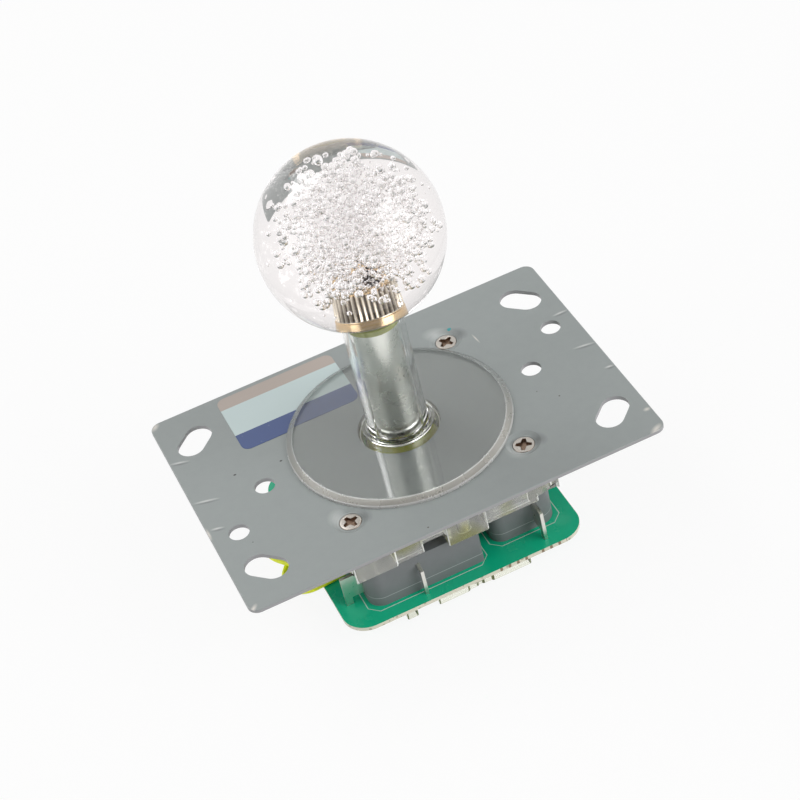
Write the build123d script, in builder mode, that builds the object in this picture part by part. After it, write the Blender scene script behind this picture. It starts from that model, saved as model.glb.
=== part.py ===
from build123d import *
import os
from math import atan2, cos, degrees, pi, radians, sin, sqrt, tan

os.makedirs("parts", exist_ok=True)

# Arcade joystick lever, in millimetres. The origin is on the lever's axis, in the top face of the
# mounting plate. +Z points up the shaft to the ball and +X runs along the plate's long side.

# Driving dimensions

running_gap = 0.05          # between a turned part and the bore that it turns or slides in
seat_gap = 0.1              # between parts that rest on each other but move apart
lever_swing = 8.0           # how far the lever tips from upright, in degrees

plate_length = 100.0
plate_depth = 70.0
plate_thickness = 1.0
plate_corner = 2.5
plate_hole_radius = 9.55    # opening round the pivot
panel_hole_radius = 2.4
plate_edge = 0.2            # rounding of the plate's outline
panel_hole_inset = 16.5     # pair of holes on the long centre line, from the plate's ends
offset_hole_inset = 6.3     # pair of holes set across a diagonal
offset_hole_y = 10.5
slot_inset_x = 7.8
slot_inset_y = 11.2
slot_width = 6.5
slot_length = 10.3
screw_square = 42.4         # the plate screws stand on a square of this side

dimple_radius = 4.0         # pressed dimple round each plate screw
dimple_depth = 0.6
dimple_wall = 0.8           # how far the pressing stands out under the plate
dimple_slope = 0.9          # how much narrower a dimple's floor is than its mouth
bulge_slope = 1.4
plate_screw_head_radius = 2.5
plate_screw_radius = 1.45
plate_screw_length = 10.0
plate_screw_rim = 0.2
plate_screw_sink = 0.15     # the heads stand this far above the dimples' floors
plate_screw_point = 1.0
cross_recess_width = 0.7
cross_recess_span = 2.9
cross_recess_depth = 0.9

label_width = 29.5
label_depth = 20.1
label_corner = 2.0
label_thickness = 0.08
label_inset_x = 16.5        # from the plate's left end and back edge
label_inset_y = 1.4
label_gap = 0.02            # between the label and the dust washer

washer_radius = 26.2
washer_thickness = 1.5
washer_bevel = 1.6
washer_edge = 0.5
washer_hole_radius = 7.7

cover_radius = 7.0
cover_bore_radius = 5.7
cover_flange_radius = 8.4
cover_flange_thickness = 1.8
cover_spigot = 1.4          # stub below the flange that steers the dust washer
cover_edge = 0.3

pivot_depth = 8.0           # the pivot's centre lies this far under the plate's top face
pivot_radius = 9.0
pivot_top_drop = 0.8
pivot_foot_drop = 4.8       # flat foot, measured down from the pivot's centre
pivot_socket_depth = 4.2    # how deep the shaft's upper part sits in the pivot

shaft_radius = 5.0
shaft_lower_radius = 3.5
shaft_bore_radius = 1.6
shaft_shoulder_z = 32.1
shaft_spigot_radius = 4.0
shaft_spigot_length = 8.9
shaft_end_inset = 0.8       # the shaft's end stays this far above the gate's foot

ball_radius = 20.5
ball_washer_thickness = 2.5
ball_washer_radius = 6.9
insert_radius = 5.5
insert_length = 9.0
insert_collar = 1.7
insert_stand_out = 0.25
knurl_count = 24
knurl_depth = 0.45
bubble_count = 42
bubble_shells = 3          # the cast-in bubbles lie on this many rounds, one inside the other
bubble_radius = 0.7
bubble_wall = 0.75          # clear plastic between the lowest bubble and the insert's bore

lamp_radius = 2.5
lamp_length = 8.6
lamp_lead_radius = 0.45
lamp_lead_spacing = 1.6

housing_side = 52.0
housing_corner = 5.0
housing_height = 13.0
housing_wall = 1.8
housing_top_wall = 2.2
bowl_radius = 11.2
bowl_foot_drop = 0.4        # the bowl's foot stands below the skirt
block_drop = 0.6            # the screw blocks stand below the skirt
block_reach = 1.0           # and out in front of it
block_width = 9.8
block_depth = 9.0
pad_reach = 0.6
pad_width = 10.0
pad_depth = 8.0
corner_boss_radius = 3.8
peg_boss_radius = 3.0
peg_radius = 1.45
peg_length = 6.0
rib_thickness = 1.2
rib_height = 8.0
window_width = 5.6
window_height = 2.6
step_width = 5.5
step_height = 1.5

switch_length = 27.8
switch_height = 15.9
switch_thickness = 10.3
switch_lid = 2.4
switch_face = 9.3           # the plunger face of each switch, from the lever's axis
switch_end = 5.4            # how far each switch runs past the lever's axis
switch_hole_inset = 2.8
switch_hole_spacing = 22.2
switch_hole_rise = 10.3
switch_hole_radius = 1.6
switch_round = 3.6          # outer corner at the terminal end
switch_inner_round = 3.0    # inner corner at the terminal end
switch_edge = 0.8
plunger_radius = 1.6
plunger_reach = 1.15
plunger_travel = 0.9
plunger_length = 4.2

terminal_thickness = 0.8
terminal_reach = 2.1
terminal_leg = 0.8
terminal_offset = 12.4      # middle terminal, from the switch's far end
tab_reach = 4.7
tab_leg = 1.7
tab_height = 6.2
tab_rise = 1.6              # the end terminal stands this far in from the switch's rounded end
terminal_drop = 2.2         # the terminals leave the switch this far under its top
terminal_fall = 1.0         # how far the middle terminal slopes down on its way out
terminal_sheet = 1.4

board_side = 59.0
board_corner = 6.0
board_thickness = 1.0
board_hole_radius = 9.3
pad_hole_gap = 0.25

gate_height = 4.0
gate_floor = 1.4
gate_wall = 1.4
gate_half = 23.0
gate_chamfer = 12.0
gate_arm_half = 27.5
gate_arm_width = 23.2
gate_arm_shift = 1.1        # the arms' middle stands this far past the screw's place
gate_recess_width = 6.0     # shallow recess in each arm's outer wall
gate_recess_depth = 0.4
gate_collar_wall = 1.6
gate_tab_width = 2.7
gate_tab_x = 17.4           # clip tabs, from the screw's place
gate_tab_reach = 1.0
gate_tab_rise = 0.8         # the clip tabs start this far above the gate's foot
gate_arm_root = 4.0         # how far the arms run into the gate's body
gate_boss_wall = 1.3
gate_notch = 1.4

board_screw_radius = 1.45
board_screw_length = 18.0
board_screw_head_radius = 2.7
board_screw_head = 1.6
board_screw_inset = 0.4     # head sunk into the gate's foot

seat_radius = 8.0
seat_thickness = 1.5
cup_radius = 6.1
cup_wall = 0.95
cup_floor = 1.5
cup_clearance = 0.3         # between the cup's rim and the spring seat at full swing
neck_radius = 4.6
neck_length = 2.2
spring_wire_radius = 0.45
spring_turns = 4.5
clip_thickness = 0.6
clip_radius = 4.2
clip_groove_radius = 2.6
clip_mouth = 3.4

header_pins = 5
header_pitch = 2.54
header_x = -8.2
header_y = 27.4
header_width = 2.5
header_pin = 0.64
header_pin_length = 8.5

lead_radius = 0.7

# Heights of the stack, worked out from the dimensions above

housing_top_z = -plate_thickness
skirt_z = housing_top_z - housing_height
bowl_foot_z = skirt_z - bowl_foot_drop
block_z = skirt_z - block_drop
switch_top_z = block_z - seat_gap
switch_split_z = switch_top_z - (switch_thickness - switch_lid)
board_top_z = switch_top_z - switch_thickness
gate_top_z = board_top_z - board_thickness
gate_foot_z = gate_top_z - gate_height
pivot_z = -pivot_depth
socket_radius = pivot_radius + running_gap

washer_z = label_thickness + label_gap
washer_top_z = washer_z + washer_thickness
flange_z = washer_top_z + seat_gap

seat_top_z = bowl_foot_z - seat_gap
seat_foot_z = seat_top_z - seat_thickness
swing = radians(lever_swing)
seat_drop = ((pivot_z - bowl_foot_z) + seat_radius * sin(swing)) / cos(swing) - (pivot_z - seat_top_z)
cup_top_z = seat_foot_z - seat_drop - cup_clearance
cup_foot_z = board_top_z
cup_floor_z = cup_foot_z + cup_floor
neck_foot_z = cup_foot_z - neck_length
clip_top_z = neck_foot_z - running_gap
shaft_end_z = gate_foot_z + shaft_end_inset

cover_lift = ((washer_top_z - pivot_z) + cover_flange_radius * sin(swing)) / cos(swing) \
    - (flange_z - pivot_z) + seat_gap
insert_z = shaft_shoulder_z + ball_washer_thickness
ball_z = insert_z + insert_stand_out + ball_radius
cover_top_z = shaft_shoulder_z - cover_lift - seat_gap
insert_top_z = insert_z + insert_length

gate_opening = neck_radius * cos(swing) + (pivot_z - neck_foot_z) * tan(swing) + seat_gap
screw_x = switch_end - switch_hole_inset
screw_y = -(switch_face + switch_height - switch_hole_inset)
peg_x = screw_x - switch_hole_spacing
peg_y = screw_y + switch_hole_rise
switch_outer = switch_face + switch_height
plunger_z = switch_top_z - switch_thickness / 2
plunger_tip = switch_face - plunger_reach

sides = {"front": 0, "right": 90, "back": 180, "left": 270}


def save(solid, name):
    solid.label = name
    export_step(solid, f"parts/{name}.step")


# Mounting plate: painted sheet steel with pressed dimples, panel holes and diagonal slots

slot_turn = degrees(atan2(1, 1))
panel_hole_x = plate_length / 2 - panel_hole_inset
offset_hole_x = plate_length / 2 - offset_hole_inset
slot_x = plate_length / 2 - slot_inset_x
slot_y = plate_depth / 2 - slot_inset_y
bulge_radius = dimple_radius + dimple_wall
head_top_z = plate_screw_sink - dimple_depth
head_rim_z = head_top_z - plate_screw_rim
head_cone = plate_screw_head_radius - plate_screw_radius

with BuildPart() as mounting_plate:
    with BuildSketch(Plane.XY.offset(-plate_thickness)):
        RectangleRounded(plate_length, plate_depth, plate_corner)
    extrude(amount=plate_thickness)
    fillet(mounting_plate.edges().filter_by(Plane.XY), plate_edge)
    with Locations((0, 0, -plate_thickness - dimple_wall)):
        with GridLocations(screw_square, screw_square, 2, 2):
            Cone(bulge_radius - bulge_slope, bulge_radius, dimple_wall,
                 align=(Align.CENTER, Align.CENTER, Align.MIN))
    with Locations((0, 0, -dimple_depth)):
        with GridLocations(screw_square, screw_square, 2, 2):
            Cone(dimple_radius - dimple_slope, dimple_radius, dimple_depth,
                 align=(Align.CENTER, Align.CENTER, Align.MIN), mode=Mode.SUBTRACT)
    with Locations((0, 0, head_rim_z - head_cone - running_gap)):
        with GridLocations(screw_square, screw_square, 2, 2):
            Cone(plate_screw_radius + running_gap, plate_screw_head_radius + 2 * running_gap,
                 head_cone, align=(Align.CENTER, Align.CENTER, Align.MIN), mode=Mode.SUBTRACT)
            Cylinder(plate_screw_radius + running_gap, 2 * plate_thickness + dimple_wall,
                     mode=Mode.SUBTRACT)
    with Locations((0, 0, head_rim_z - running_gap)):
        with GridLocations(screw_square, screw_square, 2, 2):
            Cylinder(plate_screw_head_radius + 2 * running_gap, dimple_depth,
                     align=(Align.CENTER, Align.CENTER, Align.MIN), mode=Mode.SUBTRACT)
    with BuildSketch():
        Circle(plate_hole_radius)
        with Locations((panel_hole_x, 0), (-panel_hole_x, 0),
                       (offset_hole_x, offset_hole_y), (-offset_hole_x, -offset_hole_y)):
            Circle(panel_hole_radius)
        with Locations((slot_x, slot_y), (-slot_x, -slot_y)):
            SlotOverall(slot_length, slot_width, rotation=-slot_turn)
        with Locations((-slot_x, slot_y), (slot_x, -slot_y)):
            SlotOverall(slot_length, slot_width, rotation=slot_turn)
    extrude(amount=-plate_thickness, mode=Mode.SUBTRACT)
save(mounting_plate.part, "mounting_plate")

# Plate screws: four countersunk screws with a cross recess

with BuildPart() as plate_screws:
    with BuildSketch(Plane.XZ) as screw_profile:
        with BuildLine():
            Polyline((0, head_top_z), (plate_screw_head_radius, head_top_z),
                     (plate_screw_head_radius, head_rim_z),
                     (plate_screw_radius, head_rim_z - head_cone),
                     (plate_screw_radius, head_top_z - plate_screw_length + plate_screw_point),
                     (0, head_top_z - plate_screw_length), (0, head_top_z))
        make_face()
    revolve(axis=Axis.Z)
    with BuildSketch(Plane.XY.offset(head_top_z)):
        Rectangle(cross_recess_span, cross_recess_width)
        Rectangle(cross_recess_width, cross_recess_span)
    extrude(amount=-cross_recess_depth, mode=Mode.SUBTRACT)
half_square = screw_square / 2
screw_places = [Pos(x, y, 0) for x in (-half_square, half_square) for y in (-half_square, half_square)]
save(Compound([place * plate_screws.part.solid() for place in screw_places]), "plate_screws")

# Label: thin printed film on the plate's top face, with one edge under the dust washer

label_x = label_inset_x + (label_width - plate_length) / 2
label_y = (plate_depth - label_depth) / 2 - label_inset_y
with BuildPart() as label:
    with BuildSketch():
        with Locations((label_x, label_y)):
            RectangleRounded(label_width, label_depth, label_corner)
    extrude(amount=label_thickness)
save(label.part, "label")

# Dust washer: clear disc with a bevelled rim that slides on the plate with the lever

with BuildPart() as dust_washer:
    with BuildSketch(Plane.XZ):
        with BuildLine():
            Polyline((washer_hole_radius, washer_z), (washer_radius, washer_z),
                     (washer_radius, washer_z + washer_edge),
                     (washer_radius - washer_bevel, washer_top_z),
                     (washer_hole_radius, washer_top_z), (washer_hole_radius, washer_z))
        make_face()
    revolve(axis=Axis.Z)
save(dust_washer.part, "dust_washer")

# Shaft cover: clear tube round the shaft, with a flange that rides on the dust washer

with BuildPart() as shaft_cover:
    with BuildSketch(Plane.XZ):
        with BuildLine():
            Polyline((cover_bore_radius, flange_z - cover_spigot), (cover_radius, flange_z - cover_spigot),
                     (cover_radius, flange_z), (cover_flange_radius, flange_z),
                     (cover_flange_radius, flange_z + cover_flange_thickness),
                     (cover_radius, flange_z + cover_flange_thickness), (cover_radius, cover_top_z),
                     (cover_bore_radius, cover_top_z), (cover_bore_radius, flange_z - cover_spigot))
        make_face()
    revolve(axis=Axis.Z)
    fillet(shaft_cover.edges().filter_by(GeomType.CIRCLE).group_by(SortBy.RADIUS)[-1], cover_edge)
save(shaft_cover.part, "shaft_cover")

# Pivot: moulded ball that sits in the housing's bowl and carries the shaft

pivot_top_z = -pivot_top_drop
with BuildPart() as pivot:
    with Locations((0, 0, pivot_z)):
        Sphere(pivot_radius)
    split(bisect_by=Plane.XY.offset(pivot_top_z), keep=Keep.BOTTOM)
    split(bisect_by=Plane.XY.offset(pivot_z - pivot_foot_drop), keep=Keep.TOP)
    with BuildSketch(Plane.XY.offset(pivot_top_z)):
        Circle(shaft_radius + running_gap)
    extrude(amount=-pivot_socket_depth, mode=Mode.SUBTRACT)
    with BuildSketch(Plane.XY.offset(pivot_top_z)):
        Circle(shaft_lower_radius + running_gap)
    extrude(amount=-3 * pivot_radius, mode=Mode.SUBTRACT)
save(pivot.part, "pivot")

# Shaft: hollow plated steel, stepped for the pivot and grooved for the retaining clip

shaft_step_z = pivot_top_z - pivot_socket_depth + running_gap
spigot_top_z = shaft_shoulder_z + shaft_spigot_length
clip_foot_z = clip_top_z - clip_thickness
groove_top_z = clip_top_z + running_gap / 2
groove_foot_z = clip_foot_z - running_gap
with BuildPart() as shaft:
    with BuildSketch(Plane.XZ):
        with BuildLine():
            Polyline((shaft_bore_radius, shaft_end_z), (shaft_lower_radius, shaft_end_z),
                     (shaft_lower_radius, groove_foot_z), (clip_groove_radius, groove_foot_z),
                     (clip_groove_radius, groove_top_z), (shaft_lower_radius, groove_top_z),
                     (shaft_lower_radius, shaft_step_z), (shaft_radius, shaft_step_z),
                     (shaft_radius, shaft_shoulder_z), (shaft_spigot_radius, shaft_shoulder_z),
                     (shaft_spigot_radius, spigot_top_z), (lamp_radius + running_gap, spigot_top_z),
                     (lamp_radius + running_gap, insert_z - running_gap),
                     (shaft_bore_radius, insert_z - running_gap), (shaft_bore_radius, shaft_end_z))
        make_face()
    revolve(axis=Axis.Z)
save(shaft.part, "shaft")

# Ball washer: spacer ring between the shaft's shoulder and the ball's insert

with BuildPart() as ball_washer:
    with BuildSketch(Plane.XY.offset(shaft_shoulder_z)):
        Circle(ball_washer_radius)
        Circle(shaft_spigot_radius + running_gap, mode=Mode.SUBTRACT)
    extrude(amount=ball_washer_thickness)
save(ball_washer.part, "ball_washer")

# Ball insert: knurled brass bush that the shaft's spigot screws into

with BuildPart() as ball_insert:
    with BuildSketch(Plane.XY.offset(insert_z)):
        Circle(insert_radius)
    extrude(amount=insert_length)
    with BuildSketch(Plane.XY.offset(insert_z)):
        Circle(shaft_spigot_radius + running_gap)
    extrude(amount=shaft_spigot_length - ball_washer_thickness + 2 * running_gap, mode=Mode.SUBTRACT)
    with BuildSketch(Plane.XY.offset(insert_z)):
        Circle(lamp_radius + 3 * running_gap)
    extrude(amount=insert_length, mode=Mode.SUBTRACT)
    with BuildSketch(Plane.XY.offset(insert_z + insert_collar)):
        with PolarLocations(insert_radius, knurl_count):
            Rectangle(2 * knurl_depth, 0.84 * pi * insert_radius / knurl_count)
    extrude(amount=insert_length - insert_collar, mode=Mode.SUBTRACT)
save(ball_insert.part, "ball_insert")

# Ball top: clear cast ball with a cloud of air bubbles, bored from below for the insert

bubble_turn = pi * (3 - sqrt(5))
bubble_cloud_radius = ball_z - insert_top_z - bubble_radius - bubble_wall
bubble_places = []
for i in range(bubble_count):
    height = 1 - (2 * i + 1) / bubble_count
    reach = bubble_cloud_radius * (i % bubble_shells + 1) / bubble_shells
    across = reach * sqrt(1 - height**2)
    bubble_places.append((across * cos(i * bubble_turn), across * sin(i * bubble_turn),
                          ball_z + reach * height))
with BuildPart() as ball_top:
    with Locations((0, 0, ball_z)):
        Sphere(ball_radius)
    with BuildSketch(Plane.XY.offset(ball_z - ball_radius)):
        Circle(insert_radius + running_gap)
    extrude(amount=insert_top_z - (ball_z - ball_radius) + running_gap, mode=Mode.SUBTRACT)
    with Locations(bubble_places):
        Sphere(bubble_radius, mode=Mode.SUBTRACT)
save(ball_top.part, "ball_top")

# Lamp: round-nosed light in the shaft's spigot, with two wires down the bore

with BuildPart() as lamp:
    with BuildSketch(Plane.XY.offset(insert_z)):
        Circle(lamp_radius)
    extrude(amount=lamp_length)
    fillet(lamp.faces().sort_by(Axis.Z)[-1].edges(), 0.96 * lamp_radius)
save(lamp.part, "lamp")

with BuildPart() as lamp_lead:
    with BuildSketch(Plane.XY.offset(shaft_end_z)):
        with Locations((lamp_lead_spacing / 2, 0)):
            Circle(lamp_lead_radius)
    extrude(amount=insert_z - shaft_end_z)
lamp_lead_pair = [lamp_lead.part.solid(), Rot(0, 0, 180) * lamp_lead.part.solid()]
save(Compound(lamp_lead_pair), "lamp_leads")

# Spring seat: flat collar on the shaft that rocks on the bowl's foot as the lever tips

with BuildPart() as spring_seat:
    with BuildSketch(Plane.XY.offset(seat_foot_z)):
        Circle(seat_radius)
        Circle(shaft_lower_radius + running_gap, mode=Mode.SUBTRACT)
    extrude(amount=seat_thickness)
    fillet(spring_seat.edges().filter_by(GeomType.CIRCLE).group_by(SortBy.RADIUS)[-1].sort_by(Axis.Z)[0], 0.4)
save(spring_seat.part, "spring_seat")

# Actuator: cup that holds the spring and reaches the switch plungers, with a neck for the gate

cup_bore_radius = cup_radius - cup_wall
with BuildPart() as actuator:
    with BuildSketch(Plane.XZ):
        with BuildLine():
            Polyline((shaft_lower_radius + running_gap, neck_foot_z), (neck_radius, neck_foot_z),
                     (neck_radius, cup_foot_z), (cup_radius, cup_foot_z), (cup_radius, cup_top_z),
                     (cup_bore_radius, cup_top_z), (cup_bore_radius, cup_floor_z),
                     (shaft_lower_radius + running_gap, cup_floor_z),
                     (shaft_lower_radius + running_gap, neck_foot_z))
        make_face()
    revolve(axis=Axis.Z)
save(actuator.part, "actuator")

# Return spring: round wire coil between the spring seat and the cup's floor

spring_radius = (cup_bore_radius + shaft_lower_radius + running_gap) / 2
spring_foot_z = cup_floor_z + spring_wire_radius + running_gap
spring_height = seat_foot_z - running_gap - spring_wire_radius - spring_foot_z
with BuildPart() as return_spring:
    with BuildLine() as coil:
        Helix(spring_height / spring_turns, spring_height, spring_radius, center=(0, 0, spring_foot_z))
    with BuildSketch(Plane(origin=coil.line @ 0, z_dir=coil.line % 0)):
        Circle(spring_wire_radius)
    sweep(path=coil.line)
save(return_spring.part, "return_spring")

# Retaining clip: open spring-steel ring in the shaft's groove

with BuildPart() as retaining_clip:
    with BuildSketch(Plane.XY.offset(clip_foot_z)):
        Circle(clip_radius)
        Circle(clip_groove_radius + running_gap, mode=Mode.SUBTRACT)
        with Locations((0, clip_radius)):
            Rectangle(clip_mouth, 2 * clip_radius, mode=Mode.SUBTRACT)
    extrude(amount=clip_thickness)
save(retaining_clip.part, "retaining_clip")

# Housing: clear moulding with the pivot's bowl, screw blocks, corner bosses, pegs and ribs

half_side = housing_side / 2
with BuildPart() as housing:
    with BuildSketch(Plane.XY.offset(skirt_z)):
        RectangleRounded(housing_side, housing_side, housing_corner)
        with PolarLocations(0, 4):
            with Locations((peg_x, -half_side - pad_reach)):
                Rectangle(pad_width, pad_depth, align=(Align.CENTER, Align.MIN))
    extrude(amount=housing_height)
    with BuildSketch(Plane.XY.offset(skirt_z)):
        RectangleRounded(housing_side - 2 * housing_wall, housing_side - 2 * housing_wall,
                         housing_corner - housing_wall)
    extrude(amount=housing_height - housing_top_wall, mode=Mode.SUBTRACT)
    with BuildSketch(Plane.XY.offset(skirt_z)):
        with PolarLocations(0, 4):
            with Locations((peg_x, -half_side - pad_reach)):
                Rectangle(pad_width, pad_depth, align=(Align.CENTER, Align.MIN))
    extrude(amount=housing_height)
    with BuildSketch(Plane.XY.offset(housing_top_z - rib_height)):
        with PolarLocations(0, 8, start_angle=22.5):
            with Locations((0, -half_side + housing_wall / 2)):
                Rectangle(rib_thickness, half_side - bowl_radius, align=(Align.CENTER, Align.MIN))
    extrude(amount=rib_height)
    with BuildSketch(Plane.XY.offset(skirt_z)):
        with GridLocations(screw_square, screw_square, 2, 2):
            Circle(corner_boss_radius)
    extrude(amount=housing_height)
    with BuildSketch(Plane.XY.offset(block_z)):
        with PolarLocations(0, 4):
            with Locations((screw_x, -half_side - block_reach)):
                Rectangle(block_width, block_depth, align=(Align.CENTER, Align.MIN))
            with Locations((peg_x, peg_y)):
                Circle(peg_boss_radius)
    extrude(amount=housing_top_z - block_z)
    with BuildSketch(Plane.XY.offset(bowl_foot_z)):
        Circle(bowl_radius)
    extrude(amount=housing_top_z - bowl_foot_z)
    with BuildSketch(Plane.XY.offset(block_z - peg_length)):
        with PolarLocations(0, 4):
            with Locations((peg_x, peg_y)):
                Circle(peg_radius)
    extrude(amount=peg_length)
    with BuildSketch(Plane.XY.offset(pivot_z)):
        Circle(socket_radius)
    extrude(amount=pivot_depth, mode=Mode.SUBTRACT)
    with Locations((0, 0, pivot_z)):
        Sphere(socket_radius, mode=Mode.SUBTRACT)
    with BuildSketch(Plane.XY.offset(block_z)):
        with PolarLocations(0, 4):
            with Locations((screw_x, screw_y)):
                Circle(board_screw_radius + running_gap)
    extrude(amount=housing_height - housing_top_wall, mode=Mode.SUBTRACT)
    with BuildSketch(Plane.XY.offset(housing_top_z)):
        with GridLocations(screw_square, screw_square, 2, 2):
            Circle(plate_screw_radius + running_gap)
    extrude(amount=plate_thickness - plate_screw_length - plate_screw_point, mode=Mode.SUBTRACT)
    with Locations((0, 0, housing_top_z - dimple_wall - running_gap)):
        with GridLocations(screw_square, screw_square, 2, 2):
            Cone(bulge_radius - bulge_slope + running_gap, bulge_radius + 2 * running_gap,
                 dimple_wall + running_gap, align=(Align.CENTER, Align.CENTER, Align.MIN),
                 mode=Mode.SUBTRACT)
    with BuildSketch(Plane.XY.offset(skirt_z)):
        with PolarLocations(0, 4):
            with Locations((screw_x - block_width / 2 - window_width / 2, -half_side)):
                Rectangle(window_width, 3 * housing_wall)
    extrude(amount=window_height, mode=Mode.SUBTRACT)
    with BuildSketch(Plane.XY.offset(skirt_z)):
        with PolarLocations(0, 4):
            with Locations((half_side - step_width / 2, -half_side)):
                Rectangle(step_width, 2 * housing_wall)
    extrude(amount=step_height, mode=Mode.SUBTRACT)
save(housing.part, "housing")

# Microswitches: one set of case, lid, plunger and terminals, turned to the four sides

switch_mid_x = switch_end - switch_length / 2
switch_mid_y = -(switch_face + switch_height / 2)


def switch_shell(foot_z, height):
    with BuildPart() as shell:
        with BuildSketch(Plane.XY.offset(foot_z)):
            with Locations((switch_mid_x, switch_mid_y)):
                Rectangle(switch_length, switch_height)
            with Locations((screw_x, screw_y), (peg_x, peg_y)):
                Circle(switch_hole_radius, mode=Mode.SUBTRACT)
        extrude(amount=height)
        uprights = shell.edges().filter_by(Axis.Z).filter_by(GeomType.LINE)
        outer = uprights.filter_by_position(Axis.Y, -switch_outer - 0.01, -switch_outer + 0.01)
        fillet(outer.sort_by(Axis.X)[0], switch_round)
        uprights = shell.edges().filter_by(Axis.Z).filter_by(GeomType.LINE)
        inner = uprights.filter_by_position(Axis.Y, -switch_face - 0.01, -switch_face + 0.01)
        fillet(inner.sort_by(Axis.X)[0], switch_inner_round)
        rest = shell.edges().filter_by(Axis.Z).filter_by_position(Axis.X, switch_end - 0.01, switch_end + 0.01)
        fillet(rest, switch_edge)
    return shell


switch_case = switch_shell(switch_split_z, switch_top_z - switch_split_z)
plunger_plane = Plane(origin=(0, -switch_face, plunger_z), x_dir=(1, 0, 0), z_dir=(0, 1, 0))
with BuildPart() as plunger_bore:
    with BuildSketch(plunger_plane):
        Circle(plunger_radius + running_gap)
    extrude(amount=-(plunger_length - plunger_reach + plunger_travel + seat_gap))
case_solid = (switch_case.part - plunger_bore.part).solid()

switch_lid_part = switch_shell(board_top_z, switch_lid)

with BuildPart() as plunger:
    with BuildSketch(plunger_plane.offset(plunger_reach)):
        Circle(plunger_radius)
    extrude(amount=-plunger_length)
    fillet(plunger.edges().sort_by(Axis.Y)[-1], 0.5)

far_end_x = switch_end - switch_length
middle_x = far_end_x + terminal_offset
tab_y = -(switch_outer - switch_round - tab_rise)
terminal_top_z = switch_top_z - terminal_drop
terminal_foot = terminal_sheet + terminal_fall / 2
with BuildPart() as middle_terminal:
    with BuildSketch(Plane.YZ.offset(middle_x - terminal_thickness / 2)):
        with BuildLine():
            Polyline((-switch_outer, terminal_top_z),
                     (-switch_outer - terminal_reach, terminal_top_z - terminal_fall),
                     (-switch_outer - terminal_reach, gate_top_z),
                     (-switch_outer - terminal_reach + terminal_leg, gate_top_z),
                     (-switch_outer - terminal_reach + terminal_leg, terminal_top_z - terminal_foot),
                     (-switch_outer, terminal_top_z - terminal_sheet), (-switch_outer, terminal_top_z))
        make_face()
    extrude(amount=terminal_thickness)
with BuildPart() as end_terminal:
    with BuildSketch(Plane.XZ.offset(-tab_y - terminal_thickness / 2)):
        with BuildLine():
            Polyline((far_end_x, terminal_top_z), (far_end_x - tab_reach, terminal_top_z),
                     (far_end_x - tab_reach, gate_top_z), (far_end_x - tab_reach + tab_leg, gate_top_z),
                     (far_end_x - tab_reach + tab_leg, terminal_top_z - tab_height),
                     (far_end_x, terminal_top_z - tab_height), (far_end_x, terminal_top_z))
        make_face()
    extrude(amount=terminal_thickness)

for side, turn in sides.items():
    place = Rot(0, 0, turn)
    save(place * case_solid, f"switch_case_{side}")
    save(place * switch_lid_part.part.solid(), f"switch_lid_{side}")
    save(place * plunger.part.solid(), f"switch_plunger_{side}")
    terminals = [place * middle_terminal.part.solid(), place * end_terminal.part.solid()]
    save(Compound(terminals), f"switch_terminals_{side}")

# Circuit board: carries the switches, with a round opening for the actuator

leg_x = far_end_x - tab_reach + tab_leg / 2
leg_y = -switch_outer - terminal_reach + terminal_leg / 2
header_xs = [header_x + (i - (header_pins - 1) / 2) * header_pitch for i in range(header_pins)]
with BuildPart() as circuit_board:
    with BuildSketch(Plane.XY.offset(gate_top_z)):
        RectangleRounded(board_side, board_side, board_corner)
        Circle(board_hole_radius, mode=Mode.SUBTRACT)
        with PolarLocations(0, 4):
            with Locations((screw_x, screw_y)):
                Circle(switch_hole_radius, mode=Mode.SUBTRACT)
            with Locations((middle_x, leg_y)):
                Rectangle(terminal_thickness + 2 * running_gap, terminal_leg + 2 * running_gap,
                          mode=Mode.SUBTRACT)
            with Locations((leg_x, tab_y)):
                Rectangle(tab_leg + 2 * running_gap, terminal_thickness + 2 * running_gap,
                          mode=Mode.SUBTRACT)
        with Locations([(x, header_y) for x in header_xs]):
            Circle(header_pin / 2 * sqrt(2) + running_gap, mode=Mode.SUBTRACT)
    extrude(amount=board_thickness)
save(circuit_board.part, "circuit_board")

# Board header: plastic strip with square pins

with BuildPart() as board_header:
    with BuildSketch(Plane.XY.offset(board_top_z)):
        with Locations([(x, header_y) for x in header_xs]):
            Rectangle(header_pitch, header_width)
        with Locations([(x, header_y) for x in header_xs]):
            Rectangle(header_pin + 2 * running_gap, header_pin + 2 * running_gap, mode=Mode.SUBTRACT)
    extrude(amount=header_width)
save(board_header.part, "board_header")

with BuildPart() as header_pin_row:
    with BuildSketch(Plane.XY.offset(gate_top_z)):
        with Locations([(x, header_y) for x in header_xs]):
            Rectangle(header_pin, header_pin)
    extrude(amount=header_pin_length)
save(Compound(header_pin_row.part.solids()), "header_pins")

# Restrictor gate: clear moulding with a square opening, screw bosses, arms and clip tabs

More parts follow.
